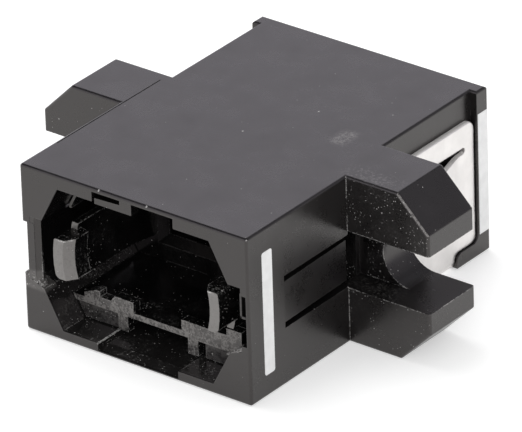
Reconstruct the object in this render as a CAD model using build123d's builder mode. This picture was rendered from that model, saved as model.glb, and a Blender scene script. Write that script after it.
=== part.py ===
"""Multi-fibre push-on adapter with a full flange.

A one-piece black housing with a mouth at each end, a latch insert in each mouth, a stainless
clip round the body behind the flange, and a white key mark beside each mouth.

Units are millimetres. X runs along the flange, Y from the front mouth to the rear mouth, and Z
is up. The origin is at the middle of the underside. The rear mouth and its insert are the front
ones turned half a turn about the X direction, because the two plugs meet with their keys on
opposite sides.
"""
import os
from math import cos, radians, sin

from build123d import *

os.makedirs("parts", exist_ok=True)

# Body
body_width = 12.9
body_height = 8.45
body_length = 18.0
rear_inset = 0.38
rim_length = 0.78
edge_radius = 0.13

# Fine parting groove beside the top's left edge
seam_inset = 0.17
seam_width = 0.06
seam_depth = 0.03
seam_setback = 2.5
seam_length = 7.6

# Ears of the flange and their screw slots
ear_length = 4.55
ear_corner = 1.7
flange_thickness = 3.4
screw_offset = 2.35
slot_height = 2.9
screw_recess = 1.45

# Walls round the mouths, and the cut corners of their eight sides
front_side_wall = 0.45
rear_side_wall = 0.37
floor_wall = 0.5
ceiling_wall = 0.7
mouth_corner_x = 1.0
mouth_corner_z = 1.87
middle_wall = 1.0
window_width = 7.6
window_height = 3.8

# Side pockets that give the latch arms room to spread
pocket_depth = 0.7
pocket_rise = 0.28

# Recesses at the lip of the front mouth, measured in from the pocket's two ends
side_skin = 0.16
skin_recess_low_gap = 0.58
skin_recess_high_gap = 0.38
skin_recess_step = 0.175
skin_recess_deep = 2.2
skin_recess_shallow = 0.4
side_notch_depth = 0.3
side_notch_low_gap = 0.45
side_notch_high_gap = 0.32
lip_bead_width = 0.25
lip_bead_length = 0.58

# Keyways
keyway_width = 4.6
keyway_depth = 0.2
keyway_lead = 0.19
keyway_lead_length = 0.6
blocked_key_height = 0.5
blocked_key_depth = 1.6
key_block_width = 2.1
key_block_height = 0.28
key_block_slope = 0.1
key_block_drop = 0.12
key_block_root = 0.66
key_block_edge = 0.12
key_block_setback = 0.08
key_block_depth = 0.5

# Spring tongues in the side walls, which hold the inserts
tongue_low_gap = 0.77
tongue_high_gap = 0.7
tongue_slot = 0.3
tongue_start = 2.6
tongue_lean = 0.12
rear_tongue_end = 2.0
nib_margin = 0.22
nib_length = 0.4
nib_reach = 0.1

# Rear feet of the housing, which the clip is cut round
foot_height = 0.75
foot_length = 1.68
foot_radius = 0.3
foot_hollow = 0.45

# Latch insert: base plate and bosses
fit_clearance = 0.05
base_thickness = 2.2
ferrule_width = 6.6
ferrule_height = 2.7
ferrule_lead = 0.4
boss_reach = 0.3
boss_length = 0.6

# Latch insert: arms and their hook heads
arm_gap = 0.56
arm_thickness = 0.34
arm_sweep = 90.0
arm_margin = 0.4
arm_setback = 1.3
arm_root = 0.35
arm_root_length = 1.4
hook_low_gap = 0.76
hook_high_gap = 0.73
hook_setback = 0.06
hook_end = 0.54
hook_nose = 0.86
hook_lead = 0.48
hook_length = 1.4
hook_back = 0.12
hook_corner = 0.3
hook_edge = 0.1

# Latch insert: floor, sill, legs and guide leaves
floor_rise = 0.87
floor_thickness = 0.28
sill_setback = 1.5
sill_thickness = 0.5
sill_height = 0.82
sill_run = 3.92
sill_end = 0.5
sill_far_end = 1.1
sill_dip = 0.3
sill_dip_start = 1.07
sill_dip_end = 1.92
sill_dip_slope = 0.22
lug_width = 0.85
lug_height = 0.36
leg_step = 0.34
leg_width = 0.36
leg_thickness = 0.42
leg_gap = 0.27
leaf_setback = 1.95
leaf_thickness = 0.12
leaf_drop = 1.33
leaf_height = 0.7

# Panel clip
sheet = 0.25
clip_top_gap = 1.35
clip_front_gap = 0.35
clip_gap = 0.05
clip_corner = 0.5
clip_bend = 0.2
clip_strip = 0.55
clip_edge = 0.07
finger_low = 2.65
finger_top_gap = 1.45
finger_slit = 0.32
finger_rear = 0.9
finger_length = 3.55
finger_bend = 2.5
finger_flare = 15.0

# White key marks
mark_width = 0.72
mark_low = 1.1
mark_top_gap = 1.15
mark_setback = 1.03
mark_depth = 0.06
mark_proud = 0.02
mark_radius = 0.12

# Worked out from the sizes above: body and flange
half_length = body_length / 2
half_body = body_width / 2
half_rear = half_body - rear_inset
half_flange = flange_thickness / 2
middle_height = body_height / 2
rim_front = half_length - rim_length
foot_front = rim_front - foot_length
screw_x = half_body + screw_offset
slot_run = ear_length - screw_offset

# Worked out: mouths
half_front_pocket = half_body - front_side_wall
half_rear_pocket = half_rear - rear_side_wall
half_mouth = half_front_pocket - pocket_depth
mouth_width = 2 * half_mouth
mouth_ceiling = body_height - ceiling_wall
pocket_low = floor_wall + mouth_corner_z
pocket_high = mouth_ceiling - mouth_corner_z
half_middle_wall = middle_wall / 2
tunnel_depth = half_length - half_middle_wall
base_setback = tunnel_depth - base_thickness
keyway_floor = floor_wall - keyway_depth
skin_recess_low = pocket_low + skin_recess_low_gap
skin_recess_middle = middle_height + skin_recess_step
skin_recess_high = pocket_high - skin_recess_high_gap
skin_recess_width = front_side_wall - side_skin
side_notch_low = pocket_low + side_notch_low_gap
side_notch_high = pocket_high - side_notch_high_gap
tongue_low = pocket_low + tongue_low_gap
tongue_high = pocket_high - tongue_high_gap
tongue_middle = (tongue_low + tongue_high) / 2
tongue_span = tongue_high - tongue_low
front_tongue_end = half_flange - tongue_slot
nib_span = tongue_span - 2 * nib_margin
nib_x = half_mouth + nib_reach
nib_rear = base_setback - fit_clearance
key_block_floor = mouth_ceiling - key_block_drop
key_block_far = key_block_edge + key_block_width

# Worked out: clip
clip_front = half_flange + clip_front_gap
clip_rear = rim_front - clip_gap
seat_front = clip_front - clip_gap
half_clip = half_rear + sheet
clip_height = body_height - clip_top_gap
finger_high = clip_height - finger_top_gap
hinge_y = clip_rear - finger_rear
mark_height = body_height - mark_low - mark_top_gap
mark_middle = mark_low + mark_height / 2

# Each mouth is drawn on a plane that faces out of it. The rear plane is upside down.
front_mouth = Plane(origin=(0, -half_length, 0), x_dir=(1, 0, 0), z_dir=(0, -1, 0))
rear_mouth = Plane(origin=(0, half_length, body_height), x_dir=(1, 0, 0), z_dir=(0, 1, 0))


def mouth_face(plane, gap=0.0):
    """Eight-sided face of a mouth, smaller all round by a gap."""
    inner_x = half_mouth - mouth_corner_x
    with BuildSketch(plane) as face:
        with BuildLine():
            Polyline(
                (-inner_x, floor_wall),
                (inner_x, floor_wall),
                (half_mouth, pocket_low),
                (half_mouth, pocket_high),
                (inner_x, mouth_ceiling),
                (-inner_x, mouth_ceiling),
                (-half_mouth, pocket_high),
                (-half_mouth, pocket_low),
                close=True,
            )
        make_face()
        if gap:
            offset(amount=-gap, kind=Kind.INTERSECTION)
    return face.sketch


def foot_face(plane, gap=0.0):
    """Side outline of a rear foot and the rim above it, larger all round by a gap."""
    top = foot_height + gap
    rear = rim_front - gap
    with BuildSketch(plane) as face:
        with Locations((rear, 0)):
            Rectangle(foot_length, top, align=(Align.MAX, Align.MIN))
            Rectangle(rim_length / 2, top + 2 * foot_hollow, align=(Align.MIN, Align.MIN))
        fillet(vertices().sort_by_distance((rear - foot_length, top, 0))[0], radius=foot_radius + gap)
        fillet(vertices().sort_by_distance((rear, top, 0))[0], radius=foot_hollow - gap)
    return face.sketch


def is_outer_edge(edge):
    """True for the edges of the bare block that its mould leaves soft."""
    middle = edge.center()
    level = abs(middle.Z - middle_height) > middle_height - 0.001
    on_ear = abs(middle.X) > half_body + 0.001
    at_front = abs(middle.X) > half_body - 0.001 and middle.Y < 0.001 - half_length
    return level or on_ear or at_front


# Housing
with BuildPart() as housing:
    # Outer block: front half, narrower rear half, rear rim, flange and rear feet
    with BuildSketch(front_mouth):
        with Locations((0, middle_height)):
            Rectangle(body_width, body_height)
    extrude(amount=-half_length)
    with BuildSketch(Plane.XZ):
        with Locations((0, middle_height)):
            Rectangle(2 * half_rear, body_height)
    extrude(amount=-half_length)
    with BuildSketch(Plane.XZ.offset(-rim_front)):
        with Locations((0, middle_height)):
            Rectangle(body_width, body_height)
    extrude(amount=-rim_length)
    with BuildSketch(Plane.XZ.offset(half_flange)):
        with Locations((0, middle_height)):
            Rectangle(body_width + 2 * ear_length, body_height)
        chamfer(vertices(), length=ear_corner)
    extrude(amount=-flange_thickness)
    for side in (-1, 1):
        extrude(foot_face(Plane.YZ.offset(side * half_rear)), amount=side * rear_inset)
    fillet(edges().filter_by(is_outer_edge), radius=edge_radius)
    # Parting groove
    with BuildSketch(Plane.XY.offset(body_height)):
        with Locations((seam_inset - half_body, seam_setback - half_length)):
            Rectangle(seam_width, seam_length, align=(Align.CENTER, Align.MIN))
    extrude(amount=-seam_depth, mode=Mode.SUBTRACT)
    # Clip seat in the underside, with its long corners taken off for the clip's bends
    with BuildSketch(Plane.XZ.offset(-seat_front)):
        with BuildLine():
            Polyline(
                (-half_body, 0),
                (-half_body, sheet + clip_bend),
                (-half_rear, sheet + clip_bend),
                (-half_rear + clip_bend, sheet),
                (half_rear - clip_bend, sheet),
                (half_rear, sheet + clip_bend),
                (half_body, sheet + clip_bend),
                (half_body, 0),
                close=True,
            )
        make_face()
    extrude(amount=seat_front - foot_front, mode=Mode.SUBTRACT)

    # Mouths. Each has its own pocket width, side wall and tongue length.
    for mouth, half_pocket, side_wall, tongue_end in (
        (front_mouth, half_front_pocket, front_side_wall, front_tongue_end),
        (rear_mouth, half_rear_pocket, rear_side_wall, rear_tongue_end),
    ):
        # A plane along the middle of the mouth: its x is the depth, its y the height
        depth_plane = Plane(origin=mouth.origin, x_dir=-mouth.z_dir, z_dir=mouth.x_dir)
        tongue_reach = half_length - tongue_end
        slot_length = tongue_reach - tongue_start
        # Tunnel
        extrude(mouth_face(mouth), amount=-tunnel_depth, mode=Mode.SUBTRACT)
        # Pockets for the latch arms
        with BuildSketch(mouth):
            for side in (-1, 1):
                with BuildLine():
                    Polyline(
                        (side * half_mouth / 2, pocket_low),
                        (side * half_mouth, pocket_low),
                        (side * half_pocket, pocket_low + pocket_rise),
                        (side * half_pocket, pocket_high),
                        (side * half_mouth / 2, pocket_high),
                        close=True,
                    )
                make_face()
        extrude(amount=-tunnel_depth, mode=Mode.SUBTRACT)
        # Open keyway in the floor, with a lead-in at its lip
        with BuildSketch(depth_plane):
            with BuildLine():
                Polyline(
                    (0, keyway_floor - keyway_lead),
                    (keyway_lead_length, keyway_floor),
                    (base_setback, keyway_floor),
                    (base_setback, middle_height),
                    (0, middle_height),
                    close=True,
                )
            make_face()
        extrude(amount=keyway_width / 2, both=True, mode=Mode.SUBTRACT)
        # Blocked keyway in the ceiling: a shallow pocket, half of it filled by a block
        with BuildSketch(mouth):
            with Locations((0, mouth_ceiling)):
                Rectangle(keyway_width, blocked_key_height, align=(Align.CENTER, Align.MIN))
        extrude(amount=-blocked_key_depth, mode=Mode.SUBTRACT)
        with BuildSketch(mouth.offset(-key_block_setback)):
            with BuildLine():
                Polyline(
                    (-key_block_edge, key_block_floor),
                    (-key_block_edge, key_block_floor + key_block_height + key_block_slope),
                    (-key_block_far, key_block_floor + key_block_height),
                    (-key_block_far, key_block_floor),
                    close=True,
                )
            make_face()
            with Locations((-key_block_edge, key_block_floor)):
                Rectangle(
                    key_block_root,
                    blocked_key_height + key_block_drop,
                    align=(Align.MAX, Align.MIN),
                )
        extrude(amount=-key_block_depth)
        # Spring tongues: slots above, below and at the free end of each
        for side in (-1, 1):
            with BuildSketch(depth_plane.offset(side * half_pocket)):
                with Locations((tongue_start, tongue_low)):
                    Rectangle(slot_length, tongue_slot, align=(Align.MIN, Align.MAX))
                with Locations((tongue_start, tongue_high)):
                    Rectangle(slot_length, tongue_slot, align=(Align.MIN, Align.MIN))
                with Locations((tongue_reach, tongue_low)):
                    Rectangle(tongue_slot, tongue_span, align=(Align.MAX, Align.MIN))
            extrude(amount=side * side_wall, mode=Mode.SUBTRACT)
        # A nib inside each tongue, with a slope that the insert rides over
        tongue_plane = Plane(mouth.location * Location((0, tongue_middle, 0), (90, 0, 0)))
        with BuildSketch(tongue_plane):
            for side in (-1, 1):
                with BuildLine():
                    Polyline(
                        (side * half_pocket, 2 * nib_length - nib_rear),
                        (side * nib_x, nib_length - nib_rear),
                        (side * nib_x, -nib_rear),
                        (side * half_pocket, -nib_rear),
                        close=True,
                    )
                make_face()
        extrude(amount=nib_span / 2, both=True)
        # Outer face of each tongue, which leans in towards the free end
        half_outside = half_pocket + side_wall
        with BuildSketch(tongue_plane):
            for side in (-1, 1):
                with BuildLine():
                    Polyline(
                        (side * half_outside, -tongue_start),
                        (side * half_outside, -tongue_reach),
                        (side * (half_outside - tongue_lean), -tongue_reach),
                        close=True,
                    )
                make_face()
        extrude(amount=tongue_span / 2, both=True, mode=Mode.SUBTRACT)
    # Window through the middle wall, where the two ferrules meet
    with BuildSketch(Plane.XZ.offset(half_middle_wall)):
        with Locations((0, middle_height)):
            Rectangle(window_width, window_height)
    extrude(amount=-middle_wall, mode=Mode.SUBTRACT)

    # Lip of the front mouth: a thin skin on the right, an open notch on the left
    with BuildSketch(front_mouth):
        with Locations((half_front_pocket, skin_recess_low)):
            Rectangle(
                skin_recess_width,
                skin_recess_middle - skin_recess_low,
                align=(Align.MIN, Align.MIN),
            )
    extrude(amount=-skin_recess_deep, mode=Mode.SUBTRACT)
    with BuildSketch(front_mouth):
        with Locations((half_front_pocket, skin_recess_middle)):
            Rectangle(
                skin_recess_width,
                skin_recess_high - skin_recess_middle,
                align=(Align.MIN, Align.MIN),
            )
    extrude(amount=-skin_recess_shallow, mode=Mode.SUBTRACT)
    with BuildSketch(front_mouth):
        with Locations((-half_body, side_notch_low)):
            Rectangle(
                2 * side_notch_depth,
                side_notch_high - side_notch_low,
                align=(Align.CENTER, Align.MIN),
            )
    extrude(amount=-tongue_start, mode=Mode.SUBTRACT)
    # Bead that stiffens the thin wall behind that notch
    with BuildSketch(front_mouth):
        with Locations((-half_front_pocket, side_notch_low)):
            Rectangle(
                lip_bead_width,
                side_notch_high - side_notch_low,
                align=(Align.MIN, Align.MIN),
            )
    extrude(amount=-lip_bead_length)

    # Screw slots: round-ended and open outwards, with a square recess for the screw head
    with BuildSketch(Plane.XZ.offset(half_flange)):
        for side in (-1, 1):
            with Locations((side * screw_x, middle_height)):
                Circle(slot_height / 2)
            with Locations((side * (screw_x + slot_run / 2), middle_height)):
                Rectangle(slot_run, slot_height)
    extrude(amount=-flange_thickness, mode=Mode.SUBTRACT)
    with BuildSketch(Plane.XZ.offset(half_flange)):
        for side in (-1, 1):
            with Locations((side * (half_body + ear_length / 2), middle_height)):
                Rectangle(ear_length, slot_height)
    extrude(amount=-screw_recess, mode=Mode.SUBTRACT)
    # The recess is open to the pocket beside it, so the front tongues end free at the flange
    with BuildSketch(Plane.XZ.offset(half_flange)):
        for side in (-1, 1):
            with Locations((side * half_body, middle_height)):
                Rectangle(
                    front_side_wall,
                    slot_height,
                    align=(Align.MAX if side > 0 else Align.MIN, Align.CENTER),
                )
    extrude(amount=-screw_recess, mode=Mode.SUBTRACT)

    # Shallow seats for the white marks: one behind the front lip, one across the rear rim
    with BuildSketch(Plane.YZ.offset(half_body)):
        with Locations((-half_length + mark_setback + mark_width / 2, mark_middle)):
            RectangleRounded(mark_width, mark_height, mark_radius)
        with Locations((half_length - mark_width / 2, mark_middle)):
            Rectangle(mark_width, mark_height)
    extrude(amount=-mark_depth, mode=Mode.SUBTRACT)

housing.part.label = "housing"
export_step(housing.part, "parts/housing.step")


# Front latch insert
arm_radius = half_mouth - arm_gap
arm_inner = arm_radius - arm_thickness
nose_radius = arm_radius - hook_nose
nose_rear = hook_setback + hook_length
head_rear = nose_rear + hook_back
arm_end = base_setback + boss_length
insert_axis = Axis((0, -half_length, middle_height), (0, 1, 0))
arm_plane = Plane(origin=insert_axis.position, x_dir=(1, 0, 0), z_dir=(0, 0, 1))
floor_low = floor_wall + floor_rise
sill_top = floor_low + sill_height
sill_x = half_mouth - sill_run
lug_x = half_mouth - sill_end
far_x = half_mouth - sill_far_end
leaf_low = mouth_ceiling - leaf_drop - leaf_height

with BuildPart() as front_latch_insert:
    # Hook heads, turned about the mouth's axis and then cut flat above and below
    for turn in (0, 180):
        with BuildSketch(arm_plane.rotated((0, turn - arm_sweep / 2, 0))):
            with BuildLine():
                Polyline(
                    (arm_radius, hook_setback),
                    (arm_radius - hook_end, hook_setback),
                    (nose_radius, hook_setback + hook_lead),
                    (nose_radius, nose_rear),
                    (arm_inner, head_rear),
                    (arm_radius, head_rear),
                    close=True,
                )
            make_face()
        revolve(axis=insert_axis, revolution_arc=arm_sweep)
    with BuildSketch(front_mouth):
        with BuildLine():
            Polyline(
                (-half_mouth, pocket_low + hook_low_gap),
                (half_mouth, pocket_low + hook_low_gap),
                (half_mouth, pocket_high - hook_high_gap),
                (-half_mouth, pocket_high - hook_high_gap),
                close=True,
            )
        make_face()
    extrude(amount=-tunnel_depth, mode=Mode.INTERSECT)
    head_edges = edges().filter_by(Axis.Y).filter_by(lambda e: abs(e.center().X) > nose_radius)
    fillet(head_edges.group_by(Axis.Z)[0], radius=hook_corner)
    head_edges = edges().filter_by(Axis.Y).filter_by(lambda e: abs(e.center().X) > nose_radius)
    fillet(head_edges.group_by(Axis.Z)[-1], radius=hook_edge)
    # Arms behind the heads, taller than them, made in the same way
    for turn in (0, 180):
        with BuildSketch(arm_plane.rotated((0, turn - arm_sweep / 2, 0))):
            with BuildLine():
                Polyline(
                    (arm_radius, arm_setback),
                    (arm_inner, arm_setback),
                    (arm_inner, base_setback - arm_root_length),
                    (arm_inner - arm_root, arm_end),
                    (arm_radius, arm_end),
                    close=True,
                )
            make_face()
        revolve(axis=insert_axis, revolution_arc=arm_sweep)
    with BuildSketch(front_mouth):
        with BuildLine():
            Polyline(
                (-half_mouth, pocket_low + arm_margin),
                (half_mouth, pocket_low + arm_margin),
                (half_mouth, pocket_high - arm_margin),
                (-half_mouth, pocket_high - arm_margin),
                close=True,
            )
        make_face()
    extrude(amount=-tunnel_depth, mode=Mode.INTERSECT)
    # Base plate against the middle wall, with the ferrule window
    extrude(mouth_face(front_mouth.offset(-base_setback), fit_clearance), amount=-base_thickness)
    with BuildSketch(front_mouth.offset(-base_setback)):
        with Locations((0, middle_height)):
            Rectangle(ferrule_width + 2 * ferrule_lead, ferrule_height + 2 * ferrule_lead)
    extrude(amount=-ferrule_lead, taper=45, mode=Mode.SUBTRACT)
    with BuildSketch(front_mouth.offset(-base_setback)):
        with Locations((0, middle_height)):
            Rectangle(ferrule_width, ferrule_height)
    extrude(amount=-base_thickness, mode=Mode.SUBTRACT)
    # Bosses that the housing's tongues hold
    with BuildSketch(front_mouth.offset(-base_setback)):
        for side in (-1, 1):
            with Locations((side * arm_inner, tongue_middle)):
                Rectangle(
                    half_mouth + boss_reach - arm_inner,
                    nib_span,
                    align=(Align.MIN if side > 0 else Align.MAX, Align.CENTER),
                )
    extrude(amount=-boss_length)
    # Floor between the mouth and the base
    with BuildSketch(front_mouth.offset(-sill_setback)):
        with Locations((0, floor_low)):
            Rectangle(mouth_width, floor_thickness, align=(Align.CENTER, Align.MIN))
        add(mouth_face(front_mouth.offset(-sill_setback), fit_clearance), mode=Mode.INTERSECT)
    extrude(amount=sill_setback - base_setback)
    # Sill at the floor's front edge: the left block dips in the middle, the right ends in a lug
    with BuildSketch(front_mouth.offset(-sill_setback)):
        with BuildLine():
            Polyline(
                (-sill_x, floor_low),
                (-sill_x, sill_top),
                (-sill_x - sill_dip_start, sill_top),
                (-sill_x - sill_dip_start - sill_dip_slope, sill_top - sill_dip),
                (-sill_x - sill_dip_end, sill_top - sill_dip),
                (-sill_x - sill_dip_end, sill_top),
                (-sill_x - sill_dip_end - sill_dip_slope, sill_top),
                (-far_x, sill_top - sill_dip),
                (-far_x, floor_low),
                close=True,
            )
        make_face()
        with BuildLine():
            Polyline(
                (sill_x, floor_low),
                (sill_x, sill_top),
                (lug_x - lug_width, sill_top),
                (lug_x - lug_width, sill_top + lug_height),
                (lug_x, sill_top + lug_height),
                (lug_x, floor_low),
                close=True,
            )
        make_face()
        add(mouth_face(front_mouth.offset(-sill_setback), fit_clearance), mode=Mode.INTERSECT)
    extrude(amount=-sill_thickness)
    # Legs of the sill, which reach down into the keyway
    with BuildSketch(front_mouth.offset(-sill_setback)):
        for side in (-1, 1):
            with Locations((side * (sill_x + leg_step + leg_width / 2), floor_low)):
                Rectangle(
                    leg_width,
                    floor_low - keyway_floor - leg_gap,
                    align=(Align.CENTER, Align.MAX),
                )
    extrude(amount=-leg_thickness)
    # Thin guide leaves that line the mouth's upper corners
    with BuildSketch(front_mouth.offset(-leaf_setback)):
        add(mouth_face(front_mouth.offset(-leaf_setback), fit_clearance))
        add(
            mouth_face(front_mouth.offset(-leaf_setback), fit_clearance + leaf_thickness),
            mode=Mode.SUBTRACT,
        )
        with Locations((0, leaf_low)):
            Rectangle(
                mouth_width,
                leaf_height,
                align=(Align.CENTER, Align.MIN),
                mode=Mode.INTERSECT,
            )
    extrude(amount=leaf_setback - base_setback)

front_latch_insert.part.label = "front_latch_insert"
export_step(front_latch_insert.part, "parts/front_latch_insert.step")


# Rear latch insert: the same moulding turned half a turn about the X direction
turn_axis = Axis((0, 0, middle_height), (1, 0, 0))

with BuildPart() as rear_latch_insert:
    add(front_latch_insert.part.rotate(turn_axis, 180))

rear_latch_insert.part.label = "rear_latch_insert"
export_step(rear_latch_insert.part, "parts/rear_latch_insert.step")


# Panel clip
flare = radians(finger_flare)
bend_x = half_clip + finger_bend
outer_radius = finger_bend
inner_radius = finger_bend + sheet
run_x = finger_length * sin(flare)
run_y = finger_length * cos(flare)

with BuildPart() as panel_clip:
    # Sheet bent to a U under the body
    with BuildSketch(Plane.XZ.offset(-clip_front)):
        Rectangle(2 * half_clip, clip_height, align=(Align.CENTER, Align.MIN))
        fillet(vertices().group_by(Axis.Y)[0], radius=clip_bend + sheet)
    extrude(amount=clip_front - clip_rear)
    with BuildSketch(Plane.XZ.offset(-clip_front)):
        with Locations((0, sheet)):
            Rectangle(2 * half_rear, clip_height, align=(Align.CENTER, Align.MIN))
        fillet(vertices().group_by(Axis.Y)[0], radius=clip_bend)
    extrude(amount=clip_front - clip_rear, mode=Mode.SUBTRACT)
    fillet(edges().filter_by(Axis.X).group_by(Axis.Z)[-1], radius=clip_corner)
    top_edges = edges().filter_by(Axis.Y).group_by(Axis.Z)[-1]
    fillet(top_edges.filter_by(lambda e: abs(e.center().X) > half_rear + sheet / 2), radius=clip_edge)
    # Cut away round the housing's rear feet
    extrude(
        foot_face(Plane.YZ.offset(-half_clip), clip_gap),
        amount=2 * half_clip,
        mode=Mode.SUBTRACT,
    )
    # Windows with round-ended slits, and in each a spring finger that leans out to the flange
    with BuildSketch(Plane.YZ.offset(-half_clip)):
        with Locations((hinge_y, finger_low - finger_slit)):
            Rectangle(
                hinge_y - clip_front - clip_strip,
                finger_high - finger_low + 2 * finger_slit,
                align=(Align.MAX, Align.MIN),
            )
        with Locations((hinge_y, finger_low - finger_slit / 2), (hinge_y, finger_high + finger_slit / 2)):
            Circle(finger_slit / 2)
    extrude(amount=2 * half_clip, mode=Mode.SUBTRACT)
    with BuildSketch(Plane.XY.offset(finger_low)):
        for side in (-1, 1):
            outer_end = (
                side * (bend_x - outer_radius * cos(flare)),
                hinge_y - outer_radius * sin(flare),
            )
            inner_end = (
                side * (bend_x - inner_radius * cos(flare)),
                hinge_y - inner_radius * sin(flare),
            )
            with BuildLine():
                Line((side * half_rear, hinge_y), (side * half_clip, hinge_y))
                ThreePointArc(
                    (side * half_clip, hinge_y),
                    (
                        side * (bend_x - outer_radius * cos(flare / 2)),
                        hinge_y - outer_radius * sin(flare / 2),
                    ),
                    outer_end,
                )
                Polyline(
                    outer_end,
                    (outer_end[0] + side * run_x, outer_end[1] - run_y),
                    (inner_end[0] + side * run_x, inner_end[1] - run_y),
                    inner_end,
                )
                ThreePointArc(
                    inner_end,
                    (
                        side * (bend_x - inner_radius * cos(flare / 2)),
                        hinge_y - inner_radius * sin(flare / 2),
                    ),
                    (side * half_rear, hinge_y),
                )
            make_face()
    extrude(amount=finger_high - finger_low)

panel_clip.part.label = "panel_clip"
export_step(panel_clip.part, "parts/panel_clip.step")


# White key marks, on the side that the plugs' own marks show
with BuildPart() as front_key_mark:
    with BuildSketch(Plane.YZ.offset(half_body - mark_depth)):
        with Locations((mark_setback + mark_width / 2 - half_length, mark_middle)):
            RectangleRounded(mark_width, mark_height, mark_radius)
    extrude(amount=mark_depth + mark_proud)

front_key_mark.part.label = "front_key_mark"
export_step(front_key_mark.part, "parts/front_key_mark.step")


with BuildPart() as rear_key_mark:
    with BuildSketch(Plane.YZ.offset(half_body - mark_depth)):
        with Locations((half_length - mark_width / 2, mark_middle)):
            Rectangle(mark_width, mark_height)
    extrude(amount=mark_depth + mark_proud)

rear_key_mark.part.label = "rear_key_mark"
export_step(rear_key_mark.part, "parts/rear_key_mark.step")
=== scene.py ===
"""Finishes, studio and camera for a multi-fibre push-on adapter.

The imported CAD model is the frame. Its solids are shown as they are, each with a finish of its
own. Added to them are small ribs under the inserts' sills, and a hollow bar, a slanted lead-in
and crumbly flash at the front lip. Lengths are in metres, except where a comment says
millimetres. The axes are the frame's: X along the flange, Y from the front mouth to the rear
mouth, Z up.
"""
import random
from math import cos, pi, radians, sin

import bmesh
import bpy
from bpy.props import FloatProperty, FloatVectorProperty, PointerProperty
from mathutils import Matrix, Vector


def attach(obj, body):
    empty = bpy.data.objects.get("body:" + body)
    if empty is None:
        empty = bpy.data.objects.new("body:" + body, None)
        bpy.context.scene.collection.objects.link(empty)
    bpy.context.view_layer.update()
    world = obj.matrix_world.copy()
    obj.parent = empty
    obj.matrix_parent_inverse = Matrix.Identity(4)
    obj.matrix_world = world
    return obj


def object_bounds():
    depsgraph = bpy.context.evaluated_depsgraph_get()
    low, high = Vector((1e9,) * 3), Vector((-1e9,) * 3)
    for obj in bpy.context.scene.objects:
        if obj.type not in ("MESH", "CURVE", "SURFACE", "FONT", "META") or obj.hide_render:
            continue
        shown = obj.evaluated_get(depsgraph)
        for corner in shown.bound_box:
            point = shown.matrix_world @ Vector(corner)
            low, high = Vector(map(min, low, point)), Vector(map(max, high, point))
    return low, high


bl_info = {
    "name": "Fibre adapter finishes",
    "version": (1, 0, 0),
    "blender": (4, 5, 0),
    "location": "3D View > Sidebar > Adapter",
    "description": "Finishes, studio and camera for a multi-fibre push-on adapter",
    "category": "Object",
}

MM = 0.001
BODY_HEIGHT = 8.45 * MM

# Turns from the front mouth to the rear one, and from a rib that runs along Y to an upright one
HALF_TURN = Matrix.Translation((0, 0, BODY_HEIGHT)) @ Matrix.Rotation(pi, 4, "X")
QUARTER_TURN = Matrix.Rotation(pi / 2, 4, "X")

RIB_ROUNDING = 0.02 * MM  # how far the roundings of a rib reach from its edges
# Ribs under a front sill, in millimetres: outline in X and Z, nearest and farthest Y
SILL_RIBS = {
    "right_leg": (((2.06, 0.57), (2.30, 0.57), (2.30, 1.45), (2.06, 1.45)), -7.495, -7.08),
    "left_leg": (((-2.06, 0.57), (-2.30, 0.57), (-2.30, 1.45), (-2.06, 1.45)), -7.495, -7.08),
    "right_web": (
        ((2.64, 0.56), (4.26, 0.56), (4.68, 1.36), (4.68, 1.45), (2.64, 1.45)), -7.40, -7.05
    ),
    "left_web": (
        ((-2.28, 0.56), (-4.26, 0.56), (-4.68, 1.36), (-4.68, 1.45), (-2.28, 1.45)), -7.40, -7.10
    ),
}
# Hollow bar at the front mouth's right edge, in millimetres: outline in X and Z, and both Y
LIP_BAR = {
    "post": (((5.93, 4.34), (6.04, 4.34), (6.04, 5.60), (5.93, 5.60)), -8.97, -8.62),
    "foot": (((5.93, 4.34), (6.24, 4.34), (6.24, 4.47), (5.93, 4.47)), -8.97, -8.62),
}
# Slanted lead-in at its left edge, upright, in millimetres: outline in X and -Y, and both Z
LIP_LEAD_IN = (((-6.02, 8.99), (-5.76, 8.99), (-5.53, 8.74), (-6.02, 8.74)), 2.52, 5.95)
# Flash at the front lip, in millimetres: path, radius and the seed of its lumps
FLASH = {
    "left": (((-6.30, -8.70, 2.86), (-5.90, -8.74, 2.68), (-5.36, -8.76, 2.44)), 0.24, 4),
    "left_rim": (((-6.38, -8.88, 2.92), (-6.10, -8.90, 2.68), (-5.72, -8.92, 2.48)), 0.17, 5),
    "right": (((5.10, -8.92, 2.24), (5.70, -8.90, 2.56), (6.16, -8.92, 2.86)), 0.13, 9),
}
FLASH_SIDES = 7
FLASH_FRONT = -8.995  # the flash stays behind this Y, in millimetres
FLASH_SPACING = 0.45  # from one ring of the flash to the next, over its radius
FLASH_DEPTH = 1.5  # how far it reaches in Y, over its radius
FLASH_SWELL = (0.55, 1.15)  # a whole ring's radius, over the given one
FLASH_LUMPS = (0.7, 1.25)  # a single corner's radius, over its ring's

# Bounds by which the finishes find their places on the part
EAR_START = 6.4 * MM  # |X|
EAR_REACH = 1.8 * MM  # |Y|
MOUTH_SIDE = 5.95 * MM  # |X|
INNER_SIDE = 5.85 * MM  # |X|
LIP = 8.93 * MM  # |Y|, just behind the end faces
KEYWAY_EDGE = (-2.3 * MM, 0.5 * MM)  # X and Z
TOP_EDGE = 8.36 * MM  # Z
TOP_EDGE_GLINTS = (-1.9 * MM, 0.82 * MM, 6.42 * MM)  # X of the painted highlights on the top front edge
SILL_TOP = 2.6 * MM  # Z
WEB_TOP = 1.46 * MM  # Z
WEB_FRONT = 7.46 * MM  # |Y|
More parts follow.
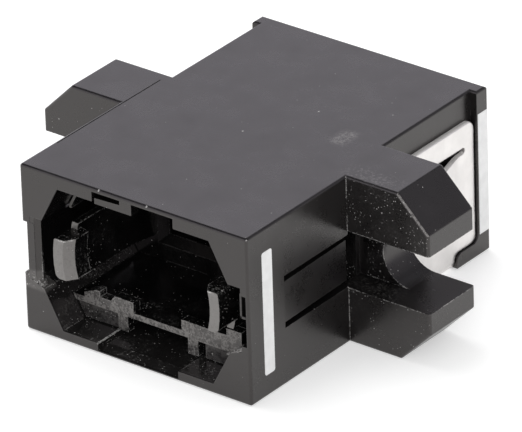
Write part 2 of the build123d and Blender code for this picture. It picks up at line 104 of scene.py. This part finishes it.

# Colours of what wears or settles on the plastic (the first also for painted highlights), and the
# tint of its sheen
SCUFF_AND_GLINT_COLOUR = (0.52, 0.51, 0.50, 1.0)
FILM_COLOUR = (0.46, 0.45, 0.44, 1.0)
DUST_COLOUR = (0.50, 0.49, 0.48, 1.0)
SHEEN_TINT = (1.0, 0.945, 0.92, 1.0)
INSERT_COLOUR = (0.0030, 0.0029, 0.0029, 1.0)

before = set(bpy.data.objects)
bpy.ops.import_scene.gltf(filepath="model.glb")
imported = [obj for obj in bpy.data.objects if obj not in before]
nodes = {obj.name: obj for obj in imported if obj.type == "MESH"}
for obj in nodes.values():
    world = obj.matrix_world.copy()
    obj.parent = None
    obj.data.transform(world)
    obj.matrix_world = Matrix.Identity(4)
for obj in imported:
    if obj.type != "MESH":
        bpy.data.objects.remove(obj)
cad_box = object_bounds()


# Shader building


class Wire:
    """An output socket on which Python's arithmetic adds Math nodes."""

    def __init__(self, shader, socket):
        self.shader = shader
        self.socket = socket

    def __getitem__(self, name):
        """Another output of the same node."""
        return Wire(self.shader, self.socket.node.outputs[name])

    def maths(self, operation, *values):
        """Adds one Math node."""
        return self.shader.node("ShaderNodeMath", {"operation": operation}, dict(enumerate(values)))

    def __add__(self, other):
        return self.maths("ADD", self, other)

    def __radd__(self, other):
        return self.maths("ADD", other, self)

    def __sub__(self, other):
        return self.maths("SUBTRACT", self, other)

    def __rsub__(self, other):
        return self.maths("SUBTRACT", other, self)

    def __mul__(self, other):
        return self.maths("MULTIPLY", self, other)

    def __rmul__(self, other):
        return self.maths("MULTIPLY", other, self)

    def __lt__(self, other):
        return self.maths("LESS_THAN", self, other)

    def __gt__(self, other):
        return self.maths("GREATER_THAN", self, other)

    def larger(self, other):
        """The larger of this and another value."""
        return self.maths("MAXIMUM", self, other)

    def size(self):
        """This value without its sign."""
        return self.maths("ABSOLUTE", self)

    def dot(self, direction):
        """Share of this vector along a direction."""
        settings = {"operation": "DOT_PRODUCT"}
        return self.shader.node("ShaderNodeVectorMath", settings, {0: self, 1: direction})["Value"]


class Shader:
    """The node tree of one material or world."""

    def __init__(self, owner):
        owner.use_nodes = True
        self.tree = owner.node_tree
        self.tree.nodes.clear()

    def node(self, kind, settings=None, inputs=None):
        """Adds a node: its settings first, then the values or wires of its sockets.

        Gives its first output in use, or nothing where it has none.
        """
        made = self.tree.nodes.new(kind)
        for name, value in (settings or {}).items():
            setattr(made, name, value)
        for name, value in (inputs or {}).items():
            if isinstance(value, Wire):
                self.tree.links.new(value.socket, made.inputs[name])
            else:
                made.inputs[name].default_value = value
        shown = [socket for socket in made.outputs if socket.enabled]
        return Wire(self, shown[0]) if shown else None

    def place(self):
        """The point on the surface, in the frame's axes."""
        return self.node("ShaderNodeTexCoord")["Object"]

    def facing(self):
        """The surface's direction, in the frame's axes."""
        return self.node("ShaderNodeTexCoord")["Normal"]

    def edges(self, radius):
        """1 near a sharp edge, 0 away from it."""
        soft = self.node("ShaderNodeBevel", {"samples": 4}, {"Radius": radius})
        sharp = self.node("ShaderNodeNewGeometry")["Normal"]
        return self.ease(soft.dot(sharp), 0.99, 0.93)

    def axes(self, vector):
        """The three parts of a vector."""
        parts = self.node("ShaderNodeSeparateXYZ", None, {"Vector": vector})
        return parts["X"], parts["Y"], parts["Z"]

    def noise(self, place, feature, detail=2.0, roughness=0.5):
        """Noise from 0 to 1 with features of a given size in metres."""
        inputs = {
            "Vector": place,
            "Scale": 1 / feature,
            "Detail": detail,
            "Roughness": roughness,
        }
        return self.node("ShaderNodeTexNoise", {"noise_dimensions": "3D"}, inputs)["Fac"]

    def ease(self, value, low, high, low_out=0.0, high_out=1.0):
        """Goes smoothly from low_out to high_out while the value goes from low to high."""
        inputs = {
            "Value": value,
            "From Min": low,
            "From Max": high,
            "To Min": low_out,
            "To Max": high_out,
        }
        settings = {"interpolation_type": "SMOOTHSTEP"}
        return self.node("ShaderNodeMapRange", settings, inputs)["Result"]

    def blend(self, share, first, second):
        """Colour between two colours."""
        inputs = {"Factor": share, "A": first, "B": second}
        return self.node("ShaderNodeMix", {"data_type": "RGBA"}, inputs)["Result"]

    def stretch(self, place, scale):
        """Point with each axis scaled, for a texture that runs one way."""
        inputs = {0: place, 1: scale}
        return self.node("ShaderNodeVectorMath", {"operation": "MULTIPLY"}, inputs)["Vector"]

    def shaken(self, place, feature, reach):
        """Point moved about at random, by up to half a given reach."""
        inputs = {"Vector": place, "Scale": 1 / feature, "Detail": 2.0}
        away = self.node("ShaderNodeTexNoise", {"noise_dimensions": "3D"}, inputs)["Color"]
        inputs = {0: away, 1: (reach,) * 3, 2: place}
        return self.node("ShaderNodeVectorMath", {"operation": "MULTIPLY_ADD"}, inputs)["Vector"]

    def specks(self, place, spacing, share, radius):
        """Specks of about a given radius, in a share of the cells of a given spacing."""
        ragged = self.shaken(place, radius, radius * 1.5)
        cell = self.node(
            "ShaderNodeTexVoronoi", {"feature": "F1"}, {"Vector": ragged, "Scale": 1 / spacing}
        )
        chance = self.node("ShaderNodeSeparateColor", None, {"Color": cell["Color"]})["Red"]
        near = self.ease(cell["Distance"], radius / spacing, 0.5 * radius / spacing)
        return near * (chance < share)

    def spot(self, value, low, high, blur):
        """1 where a value lies between two bounds, with blurred ends."""
        above = self.ease(value, low - blur, low + blur)
        return above * self.ease(value, high + blur, high - blur)

    def bump(self, height, distance, normal=None):
        """Direction of a bumpy surface, whose smooth direction may be given."""
        inputs = {"Height": height, "Distance": distance}
        if normal:
            inputs["Normal"] = normal
        return self.node("ShaderNodeBump", None, inputs)["Normal"]

    def surface(self, finish):
        """Ends a material's tree with its finish."""
        self.node("ShaderNodeOutputMaterial", None, {"Surface": finish})


def paint(name, objects, build):
    """Makes a material and gives it to objects in place of what they carry."""
    material = bpy.data.materials.new(name)
    build(Shader(material))
    for item in objects:
        item.data.materials.clear()
        item.data.materials.append(material)


# Small pieces


def add_piece(name, mesh_work):
    """Turns finished mesh work into a piece that rides on the part."""
    mesh = bpy.data.meshes.new(name)
    mesh_work.to_mesh(mesh)
    mesh_work.free()
    piece = bpy.data.objects.new(name, mesh)
    bpy.context.scene.collection.objects.link(piece)
    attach(piece, "root")
    return piece


def rib(name, outline, near, far, slot, turn=None):
    """Rib or bar with rounded edges: an outline in X and Z between two places in Y.

    They are in millimetres. The rib may be turned once it is made.
    """
    work = bmesh.new()
    front = work.faces.new([work.verts.new((x * MM, near * MM, z * MM)) for x, z in outline])
    grown = bmesh.ops.extrude_face_region(work, geom=[front])
    moved = [item for item in grown["geom"] if isinstance(item, bmesh.types.BMVert)]
    bmesh.ops.translate(work, verts=moved, vec=(0, (far - near) * MM, 0))
    bmesh.ops.recalc_face_normals(work, faces=work.faces)
    bmesh.ops.bevel(
        work, geom=work.edges[:], offset=RIB_ROUNDING, segments=2, profile=0.5, affect="EDGES"
    )
    if turn:
        bmesh.ops.transform(work, matrix=turn, verts=work.verts)
    return add_piece(name, work)


def flash(name, path, radius, seed):
    """Crumbly flash: a lumpy tube along a path in millimetres, thin at its ends."""
    chance = random.Random(seed)
    points = [Vector(point) for point in path]
    centres = []
    for start, end in zip(points, points[1:]):
        steps = max(2, round((end - start).length / (FLASH_SPACING * radius)))
        centres += [start.lerp(end, step / steps) for step in range(steps)]
    centres.append(points[-1])
    along = (points[-1] - points[0]).normalized()
    upright = along.cross(Vector((0, 1, 0))).normalized()
    work = bmesh.new()
    rings = []
    for number, centre in enumerate(centres):
        taper = sin(pi * (number + 0.6) / len(centres)) ** 0.4
        swell = taper * chance.uniform(*FLASH_SWELL)
        ring = []
        for corner in range(FLASH_SIDES):
            angle = 2 * pi * corner / FLASH_SIDES
            reach = radius * swell * chance.uniform(*FLASH_LUMPS)
            inward = Vector((0, FLASH_DEPTH * reach * cos(angle), 0))
            point = centre + upright * (reach * sin(angle)) + inward
            point.y = max(point.y, FLASH_FRONT)
            ring.append(work.verts.new(point * MM))
        rings.append(ring)
    for first, second in zip(rings, rings[1:]):
        for corner in range(FLASH_SIDES):
            after = (corner + 1) % FLASH_SIDES
            work.faces.new((first[corner], first[after], second[after], second[corner]))
    work.faces.new(rings[0])
    work.faces.new(rings[-1])
    bmesh.ops.recalc_face_normals(work, faces=work.faces)
    return add_piece(name, work)


# Sizes and colours that a user may change


class PlasticFinish(bpy.types.PropertyGroup):
    """Moulded plastic"""

    colour: FloatVectorProperty(
        name="Colour", description="Colour of the plastic", subtype="COLOR", size=4,
        min=0.0, max=1.0, default=(0.0040, 0.0036, 0.0037, 1.0),
    )
    worn_and_lit: FloatVectorProperty(
        name="Worn colour", description="Colour where the skin is rubbed", subtype="COLOR", size=4,
        min=0.0, max=1.0, default=(0.172, 0.165, 0.159, 1.0),
    )
    roughness: FloatProperty(
        name="Roughness", description="Roughness of the moulded skin", subtype="FACTOR",
        min=0.0, max=1.0, default=0.30,
    )
    ior: FloatProperty(
        name="IOR", description="Refractive index, which sets how glossy the skin is",
        min=1.3, max=2.0, default=1.62,
    )
    wear: FloatProperty(
        name="Edge wear", description="Width of the scuffed band along sharp edges", unit="LENGTH",
        min=0.0, max=0.0005, default=0.00008,
    )
    grain: FloatProperty(
        name="Grain", description="Size of the eroded grain", unit="LENGTH",
        min=0.00002, max=0.001, default=0.00009,
    )
    grain_depth: FloatProperty(
        name="Grain depth", description="Depth of the eroded grain", unit="LENGTH",
        min=0.0, max=0.0001, default=0.0000022,
    )


class SteelFinish(bpy.types.PropertyGroup):
    """Rolled spring steel"""

    colour: FloatVectorProperty(
        name="Colour", description="Colour of the steel", subtype="COLOR", size=4,
        min=0.0, max=1.0, default=(0.80, 0.778, 0.762, 1.0),
    )
    roughness: FloatProperty(
        name="Roughness", description="Roughness of the rolled face", subtype="FACTOR",
        min=0.0, max=1.0, default=0.34,
    )


class MarkFinish(bpy.types.PropertyGroup):
    """White print"""

    colour: FloatVectorProperty(
        name="Colour", description="Colour of the print", subtype="COLOR", size=4,
        min=0.0, max=1.0, default=(0.93, 0.93, 0.93, 1.0),
    )


class Studio(bpy.types.PropertyGroup):
    """Camera, lamps and floor"""

    azimuth: FloatProperty(
        name="Azimuth", description="Angle of the camera round the part", subtype="ANGLE",
        default=radians(38.329),
    )
    elevation: FloatProperty(
        name="Elevation", description="Angle of the camera above the floor", subtype="ANGLE",
        default=radians(27.99),
    )
    roll: FloatProperty(
        name="Roll", description="Turn of the camera about its own line of sight",
        subtype="ANGLE", default=radians(-1.838),
    )
    distance: FloatProperty(
        name="Distance", description="From the camera to the part's middle", unit="LENGTH",
        min=0.05, default=0.35719,
    )
    lens: FloatProperty(
        name="Lens", description="Focal length in millimetres on a 36 mm wide sensor",
        min=10.0, default=540.67,
    )
    ambient: FloatProperty(
        name="Ambient", description="Strength of the even light from all round",
        min=0.0, default=0.62,
    )
    key_power: FloatProperty(
        name="Key lamp", description="Power of the key lamp", unit="POWER",
        min=0.0, default=0.45,
    )
    fill_power: FloatProperty(
        name="Fill lamp", description="Power of the lamp at the camera's right", unit="POWER",
        min=0.0, default=0.7,
    )


FINISHES = {
    "adapter_housing": PlasticFinish,
    "adapter_insert": PlasticFinish,
    "adapter_clip": SteelFinish,
    "adapter_mark": MarkFinish,
    "adapter_studio": Studio,
}


# Finishes


def eroded_plastic(shader, look, dust, pale, worn_edges, sleek, painted_glints):
    """Black moulding: fine grain, uneven sheen and dust, scuffed or sleek places, painted
    highlights.

    Shares from 0 to 1, each a number or a wire: dust that lies on it (with painted highlight specks
    on the inserts' head tops), skin that is paler (abraded, and on the inserts' end faces partly
    painted light), sharp edges that are scuffed, skin that is sleek and shows its dust in swarms,
    and painted highlights in the scuff colour.
    """
    place = shader.place()
    grain = shader.noise(place, look.grain, 3.0, 0.6)
    cloud = shader.noise(place, 1.5 * MM, 4.0, 0.6)
    chips = shader.noise(place, 0.13 * MM, 3.0, 0.7)
    swarm = shader.noise(place, 1.3 * MM, 3.0, 0.6)
    drift = shader.ease(swarm, 0.42, 0.64, 0.55 - sleek * 0.47, 1.4 + sleek * 1.0)
    fine = shader.specks(place, 0.15 * MM, dust * drift, 0.030 * MM)
    coarse = shader.specks(place, 0.42 * MM, dust * drift * 0.45, 0.060 * MM)
    scuff = shader.edges(look.wear) * shader.ease(chips + (cloud - 0.5) * 0.8, 0.42, 0.60)
    # Scuffed edges, with the painted highlights laid over them in the same pale colour
    worn_and_lit = (scuff * worn_edges).larger(painted_glints)
    tone = tuple(1.5 * part for part in look.colour[:3]) + (1.0,)
    base = shader.blend(shader.ease(cloud, 0.35, 0.7), look.colour, tone)
    base = shader.blend(pale * shader.ease(grain + chips, 0.6, 1.1, 0.75, 1.0), base, look.worn_and_lit)
    base = shader.blend(worn_and_lit * 0.85, base, SCUFF_AND_GLINT_COLOUR)
    dirt = fine.larger(coarse)
    film = dust * shader.ease(cloud, 0.45, 0.68) * shader.ease(chips, 0.5, 0.68)
    base = shader.blend(film * (0.14 + sleek * 0.22), base, FILM_COLOUR)
    cling = shader.ease(shader.noise(place, 0.2 * MM, 2.0, 0.5), 0.35, 0.65, 0.25, 0.95)
    base = shader.blend(dirt * cling, base, DUST_COLOUR)
    roughness = look.roughness + (cloud - 0.5) * 0.22 + (grain - 0.5) * 0.12
    roughness = roughness + dirt * 0.3 - sleek * 0.12
    normal = shader.bump(grain + cloud * 0.6 + dirt * 2.0, look.grain_depth)
    inputs = {
        "Base Color": base,
        "Roughness": roughness,
        "Normal": normal,
        "IOR": look.ior,
        "Specular Tint": SHEEN_TINT,
    }
    shader.surface(shader.node("ShaderNodeBsdfPrincipled", None, inputs))


def housing_plastic(shader, look):
    """The housing's dust lies on the ears' front faces and in the mouths, its scuffs on top.

    The insides are sleek, so they stay dark. Painted highlights sit along the front keyway's left
    edge and as spots on the top front edge.
    """
    place = shader.place()
    x, y, z = shader.axes(place)
    across, forward, upward = shader.axes(shader.facing())
    reach = x.size()
    depth = y.size()
    chips = shader.noise(place, 0.12 * MM, 3.0, 0.7)

    ear = (reach > EAR_START) * (depth < EAR_REACH)
    ear_front = ear * (forward < -0.6) * shader.ease(z, 1.2 * MM, 4.6 * MM, 0.35, 1.0)
    ear_front = ear_front * shader.ease(x, -6.0 * MM, 6.0 * MM, 0.1, 1.0)
    ear_slope = ear * (upward > 0.25) * (across > 0.25)
    in_mouth = (reach < MOUTH_SIDE) * (depth < LIP) * shader.ease(z, 5.2 * MM, 2.2 * MM)
    in_mouth = in_mouth * (z > 0.14 * MM)
    inside = (reach < INNER_SIDE) * (depth < LIP)
    inside = inside * shader.spot(z, 0.2 * MM, 8.1 * MM, 0.1 * MM)
    ledge = shader.spot(x, -6.5 * MM, -5.2 * MM, 0.1 * MM) * (y < -8.2 * MM)
    ledge = ledge * shader.spot(z, 2.2 * MM, 3.15 * MM, 0.1 * MM)
    dust = 0.012 + ear_front * 0.85 + ear_slope * 0.1 + in_mouth * 0.55 + ledge * 0.6

    gate = shader.spot(x, 3.75 * MM, 4.5 * MM, 0.3 * MM)
    gate = gate * shader.spot(y, 0.6 * MM, 1.9 * MM, 0.3 * MM)
    rubbed_top = shader.spot(x, 6.0 * MM, 9.0 * MM, 0.5 * MM)
    rubbed_top = rubbed_top * shader.spot(y, -1.6 * MM, -0.5 * MM, 0.3 * MM)
    scuffed = gate * 0.7 * shader.ease(chips, 0.40, 0.62)
    scuffed = scuffed + rubbed_top * 0.4 * shader.ease(chips, 0.48, 0.66)
    scuffed = scuffed * (upward > 0.9)
    slope_edge = ear_slope * shader.spot(forward, -0.95, -0.35, 0.1)
    scuffed = scuffed + slope_edge * 0.9 * shader.ease(chips, 0.36, 0.5)

    near_lip = shader.ease(depth, 7.2 * MM, 8.6 * MM)
    worn_edges = 0.08 + ear * 0.8 + in_mouth * near_lip * 0.6
    # Painted highlights: a bright broken line along the keyway's left top edge near the mouth, and
    # small bright spots on the top front edge
    key_x, key_z = KEYWAY_EDGE
    key_edge = ((x - key_x).size() < 0.06 * MM) * ((z - key_z).size() < 0.06 * MM)
    painted_glints = key_edge * (y < -7.3 * MM) * shader.ease(chips, 0.40, 0.55, 0.2, 1.0)
    top_front = (y < -8.92 * MM) * (z > TOP_EDGE)
    for glint_x in TOP_EDGE_GLINTS:
        painted_glints = painted_glints + ((x - glint_x).size() < 0.04 * MM) * top_front * 0.7
    pale = scuffed + in_mouth * 0.04 + ledge * 0.3
    eroded_plastic(shader, look, dust, pale, worn_edges, inside, painted_glints)


def insert_plastic(shader, look):
    """The inserts' end faces by the mouths are paler, partly abraded and partly painted light, and
    the rest stays black.

    Heights are from the front mouth's floor side, and so count downwards at the rear mouth. The
    heads' tops carry dense pale specks and a bright line along their front edge, both painted
    highlights.
    """
    place = shader.place()
    x, y, z = shader.axes(place)
    height = z + (y > 0) * (BODY_HEIGHT - 2 * z)
    depth = y.size()
    forward = shader.axes(shader.facing())[1].size()
    patches = shader.noise(place, 0.35 * MM, 4.0, 0.7)
    crumbs = shader.noise(place, 0.11 * MM, 3.0, 0.7)
    mottle = shader.ease(patches + (crumbs - 0.5) * 0.6, 0.38, 0.60, 0.25, 1.0)
    sill = height < SILL_TOP
    web = (height < WEB_TOP) * (depth < WEB_FRONT)
    # Painted light, in part: the paler colour is kept to faces turned to the mouth and near its
    # lip, where light falls on them, and fades out deeper in
    lit_end_face = shader.ease(forward, 0.4, 0.55) * shader.ease(depth, 5.6 * MM, 7.2 * MM)
    lit_end_face = lit_end_face * (1 - sill * (1 - mottle))
    lit_end_face = lit_end_face * shader.ease(height, 0.9 * MM, 1.4 * MM, 0.6, 1.0)
    rubbed_and_lit = lit_end_face * (1 - web * 0.6)

    dusty_end = sill * shader.ease(x, 0.5 * MM, -2.0 * MM) * (depth > 6 * MM)
    # Painted highlight: dense pale specks on the hook heads' tops, added to the dust
    head_top_glint = (x.size() < 5.0 * MM) * (depth > 7.3 * MM)
    head_top_glint = head_top_glint * shader.spot(height, 5.05 * MM, 5.2 * MM, 0.03 * MM)
    dust = 0.10 + shader.ease(depth, 4.0 * MM, 8.0 * MM) * 0.35
    dust = dust * (1 - lit_end_face * 0.8) + dusty_end * 0.5 + head_top_glint

    near_mouth = shader.ease(depth, 6.6 * MM, 7.0 * MM, 0.1, 0.7)
    worn_edges = (near_mouth + (height > 5.2 * MM) * 0.3) * (1 - rubbed_and_lit)
    # Painted highlight: a bright broken line along the top front edge of the hook heads
    glint = shader.spot(height, 5.07 * MM, 5.3 * MM, 0.01 * MM)
    glint = glint * shader.spot(x.size(), 3.86 * MM, 4.42 * MM, 0.04 * MM)
    glint = glint * (depth > 8.2 * MM) * rubbed_and_lit * shader.ease(crumbs, 0.42, 0.52)
    eroded_plastic(shader, look, dust, rubbed_and_lit, worn_edges, 1 - rubbed_and_lit, glint)


def rolled_steel(shader, look):
    """Spring steel strip: fine lines along the roll, faint smears, and dull sheared edges."""
    place = shader.place()
    lines = shader.noise(shader.stretch(place, (1.0, 0.06, 1.0)), 0.035 * MM, 2.0, 0.6)
    smear = shader.noise(place, 1.1 * MM, 3.0, 0.5)
    darker = tuple(0.86 * part for part in look.colour[:3]) + (1.0,)
    base = shader.blend(shader.ease(smear, 0.3, 0.75), darker, look.colour)
    across, _, upward = shader.axes(shader.facing())
    sheared = shader.ease(across.size(), 0.85, 0.55)
    matte = shader.ease(upward, 0.5, 0.8) * shader.ease(lines, 0.3, 0.6, 0.6, 0.9)
    roughness = look.roughness + (smear - 0.5) * 0.18 + (lines - 0.5) * 0.1 + sheared * 0.35
    rounded = shader.node("ShaderNodeBevel", {"samples": 6}, {"Radius": 0.07 * MM})
    normal = shader.bump(lines, 0.0007 * MM, rounded)
    inputs = {"Base Color": base, "Metallic": 1 - matte, "Roughness": roughness, "Normal": normal}
    shader.surface(shader.node("ShaderNodeBsdfPrincipled", None, inputs))


def white_print(shader, look):
    """Printed white: slightly uneven cover with a fine tooth."""
    place = shader.place()
    tooth = shader.noise(place, 0.07 * MM, 3.0, 0.6)
    cover = shader.noise(place, 0.5 * MM, 2.0, 0.5)
    thin = tuple(0.93 * part for part in look.colour[:3]) + (1.0,)
    base = shader.blend(shader.ease(cover, 0.3, 0.7), thin, look.colour)
    roughness = 0.55 + (tooth - 0.5) * 0.2
    normal = shader.bump(tooth, 0.002 * MM)
    inputs = {"Base Color": base, "Roughness": roughness, "Normal": normal}
    shader.surface(shader.node("ShaderNodeBsdfPrincipled", None, inputs))


class ADAPTER_OT_housing(bpy.types.Operator):
    """Give the housing its black moulded finish"""

    bl_idname = "adapter.housing"
    bl_label = "Housing"

    def execute(self, context):
        look = context.scene.adapter_housing
        paint("black_moulding", [nodes["housing"]], lambda shader: housing_plastic(shader, look))
        return {"FINISHED"}


class ADAPTER_OT_lip_flash(bpy.types.Operator):
    """Add the hollow bar, the slanted lead-in and the crumbly flash at the front lip"""

    bl_idname = "adapter.lip_flash"
    bl_label = "Lip flash"

    def execute(self, context):
        look = context.scene.adapter_housing
        bars = [rib(f"lip_bar_{end}", *sizes, "housing_plastic") for end, sizes in LIP_BAR.items()]
        bars.append(rib("lip_lead_in", *LIP_LEAD_IN, "housing_plastic", QUARTER_TURN))
        paint("lip_moulding", bars, lambda shader: housing_plastic(shader, look))
        crumbs = [flash(f"{side}_lip_flash", *values) for side, values in FLASH.items()]
        torn = {"dust": 1.0, "pale": 0.45, "worn_edges": 1.0, "sleek": 0.0, "painted_glints": 0.0}
        paint("torn_moulding", crumbs, lambda shader: eroded_plastic(shader, look, **torn))
        return {"FINISHED"}


class ADAPTER_OT_latch_inserts(bpy.types.Operator):
    """Add the ribs under the inserts' sills and give both inserts their moulded finish"""

    bl_idname = "adapter.latch_inserts"
    bl_label = "Latch inserts"

    def execute(self, context):
        look = context.scene.adapter_insert
        inserts = [nodes["front_latch_insert"], nodes["rear_latch_insert"]]
        for mouth, turn in (("front", None), ("rear", HALF_TURN)):
            for rib_name, sizes in SILL_RIBS.items():
                inserts.append(rib(f"{mouth}_{rib_name}", *sizes, "insert_plastic", turn))
        paint("dark_grey_moulding", inserts, lambda shader: insert_plastic(shader, look))
        return {"FINISHED"}


class ADAPTER_OT_panel_clip(bpy.types.Operator):
    """Give the clip its rolled steel finish"""

    bl_idname = "adapter.panel_clip"
    bl_label = "Panel clip"

    def execute(self, context):
        look = context.scene.adapter_clip
        paint("rolled_steel", [nodes["panel_clip"]], lambda shader: rolled_steel(shader, look))
        return {"FINISHED"}


class ADAPTER_OT_key_marks(bpy.types.Operator):
    """Give the key marks their white print"""

    bl_idname = "adapter.key_marks"
    bl_label = "Key marks"

    def execute(self, context):
        look = context.scene.adapter_mark
        marks = [nodes["front_key_mark"], nodes["rear_key_mark"]]
        paint("white_print", marks, lambda shader: white_print(shader, look))
        return {"FINISHED"}


# Studio

CEILING_FROM = 0.56  # sines of the angles above the floor between which the dark ceiling starts
CEILING_FULL = 0.70
DARK_SIDE = Vector((0.47, 0.69, 0.55)).normalized()
WHITE_WALL = (1.17, 1.14, 1.25, 1)
DARK_WALL = (0.13, 0.13, 0.15, 1)
FLOOR_REACH = 1.2
FLOOR_GAP = 0.00002  # keeps the floor just clear of the underside
FLOOR_GLOW = 0.40  # lifts the pale floor to white where nothing shades it
KEY_LAMP = ((-0.13, 0.02, 0.30), 0.22)  # place and size
FILL_LAMP = ((0.26, -0.30, 0.22), 0.24)
CAMERA_TARGET = Vector((0.0, -0.017, 4.2225)) * MM
CAMERA_RIGHT = 0.184 * MM  # how far the camera stands off the line to its target
CAMERA_UP = -0.409 * MM


def seen_directly(shader):
    """1 for camera, glossy and transmission rays, which see the white background."""
    path = shader.node("ShaderNodeLightPath")
    seen = path["Is Camera Ray"].larger(path["Is Glossy Ray"])
    return seen.larger(path["Is Transmission Ray"])


def make_world(ambient):
    """Even light, and to the camera and in gloss a white studio with a dark ceiling and side."""
    world = bpy.data.worlds.new("white_studio")
    shader = Shader(world)
    direction = shader.node("ShaderNodeTexCoord")["Generated"]
    overhead = shader.ease(shader.axes(direction)[2], CEILING_FROM, CEILING_FULL)
    beside = shader.ease(direction.dot(DARK_SIDE), 0.72, 0.92, 0.0, 0.7)
    colour = shader.blend(overhead.larger(beside), WHITE_WALL, DARK_WALL)
    even = shader.node("ShaderNodeBackground", None, {"Color": (1, 1, 1, 1), "Strength": ambient})
    white = shader.node("ShaderNodeBackground", None, {"Color": colour, "Strength": 1.0})
    both = shader.node("ShaderNodeMixShader", None, {0: seen_directly(shader), 1: even, 2: white})
    shader.node("ShaderNodeOutputWorld", None, {"Surface": both})
    bpy.context.scene.world = world


def make_floor():
    """Pale floor under the part, which turns white to the camera outside the shadow."""
    mesh = bpy.data.meshes.new("floor")
    turns = ((-1, -1), (1, -1), (1, 1), (-1, 1))
    corners = [(across * FLOOR_REACH, along * FLOOR_REACH, 0) for across, along in turns]
    mesh.from_pydata(corners, [], [(0, 1, 2, 3)])
    floor = bpy.data.objects.new("floor", mesh)
    bpy.context.scene.collection.objects.link(floor)
    floor.location.z = cad_box[0].z - FLOOR_GAP
    material = bpy.data.materials.new("pale_floor")
    shader = Shader(material)
    pale = shader.node("ShaderNodeBsdfDiffuse", None, {"Color": (0.8, 0.8, 0.8, 1)})
    glow = shader.node("ShaderNodeEmission", None, {"Color": (1, 1, 1, 1), "Strength": FLOOR_GLOW})
    lifted = shader.node("ShaderNodeAddShader", None, {0: pale, 1: glow})
    shader.surface(
        shader.node("ShaderNodeMixShader", None, {0: seen_directly(shader), 1: pale, 2: lifted})
    )
    mesh.materials.append(material)


def make_lamp(name, place, size, power):
    """Soft square lamp that looks at the part's middle and isn't seen in gloss."""
    data = bpy.data.lights.new(name, "AREA")
    data.shape = "SQUARE"
    data.size = size
    data.energy = power
    lamp = bpy.data.objects.new(name, data)
    bpy.context.scene.collection.objects.link(lamp)
    lamp.location = Vector(place)
    lamp.visible_glossy = False
    middle = (cad_box[0] + cad_box[1]) / 2
    lamp.rotation_mode = "QUATERNION"
    lamp.rotation_quaternion = (middle - lamp.location).to_track_quat("-Z", "Y")


def make_camera(studio):
    """Camera at the photograph's angle, found from the part's straight edges."""
    azimuth, elevation, roll = studio.azimuth, studio.elevation, studio.roll
    flat = cos(elevation)
    back = Vector((sin(azimuth) * flat, -cos(azimuth) * flat, sin(elevation)))
    level = Vector((cos(azimuth), sin(azimuth), 0.0))
    upright = back.cross(level)
    right = level * cos(roll) + upright * sin(roll)
    up = upright * cos(roll) - level * sin(roll)
    data = bpy.data.cameras.new("camera")
    data.sensor_width = 36.0
    data.lens = studio.lens
    data.clip_start = 0.01
    data.clip_end = 10.0
    camera = bpy.data.objects.new("camera", data)
    bpy.context.scene.collection.objects.link(camera)
    turn = Matrix((right, up, back)).transposed().to_4x4()
    place = CAMERA_TARGET + right * CAMERA_RIGHT + up * CAMERA_UP + back * studio.distance
    camera.matrix_world = Matrix.Translation(place) @ turn
    bpy.context.scene.camera = camera


class ADAPTER_OT_stage(bpy.types.Operator):
    """Set up the white studio: camera, floor, world and lamps"""

    bl_idname = "adapter.stage"
    bl_label = "Stage"

    def execute(self, context):
        studio = context.scene.adapter_studio
        make_camera(studio)
        make_world(studio.ambient)
        make_floor()
        make_lamp("key_lamp", *KEY_LAMP, studio.key_power)
        make_lamp("fill_lamp", *FILL_LAMP, studio.fill_power)
        context.scene.view_settings.view_transform = "Standard"
        return {"FINISHED"}


OPERATORS = (
    ADAPTER_OT_housing,
    ADAPTER_OT_lip_flash,
    ADAPTER_OT_latch_inserts,
    ADAPTER_OT_panel_clip,
    ADAPTER_OT_key_marks,
    ADAPTER_OT_stage,
)


class ADAPTER_PT_panel(bpy.types.Panel):
    """Lists the adapter's finishes and its studio"""

    bl_idname = "ADAPTER_PT_panel"
    bl_label = "Fibre adapter"
    bl_space_type = "VIEW_3D"
    bl_region_type = "UI"
    bl_category = "Adapter"

    def draw(self, context):
        for name, group in FINISHES.items():
            column = self.layout.box().column()
            for prop in group.__annotations__:
                column.prop(getattr(context.scene, name), prop)
        for operator in OPERATORS:
            self.layout.operator(operator.bl_idname)


CLASSES = (PlasticFinish, SteelFinish, MarkFinish, Studio, *OPERATORS, ADAPTER_PT_panel)


def register():
    """Registers the classes and gives the scene its groups of properties."""
    for cls in CLASSES:
        bpy.utils.register_class(cls)
    for name, group in FINISHES.items():
        setattr(bpy.types.Scene, name, PointerProperty(type=group))


def unregister():
    """Takes back what register did."""
    for name in FINISHES:
        delattr(bpy.types.Scene, name)
    for cls in reversed(CLASSES):
        bpy.utils.unregister_class(cls)


def main():
    """Dresses the part and sets the stage."""
    register()
    bpy.context.scene.adapter_insert.colour = INSERT_COLOUR
    for operator in OPERATORS:
        group, action = operator.bl_idname.split(".")
        getattr(getattr(bpy.ops, group), action)()


if __name__ == "__main__":
    main()
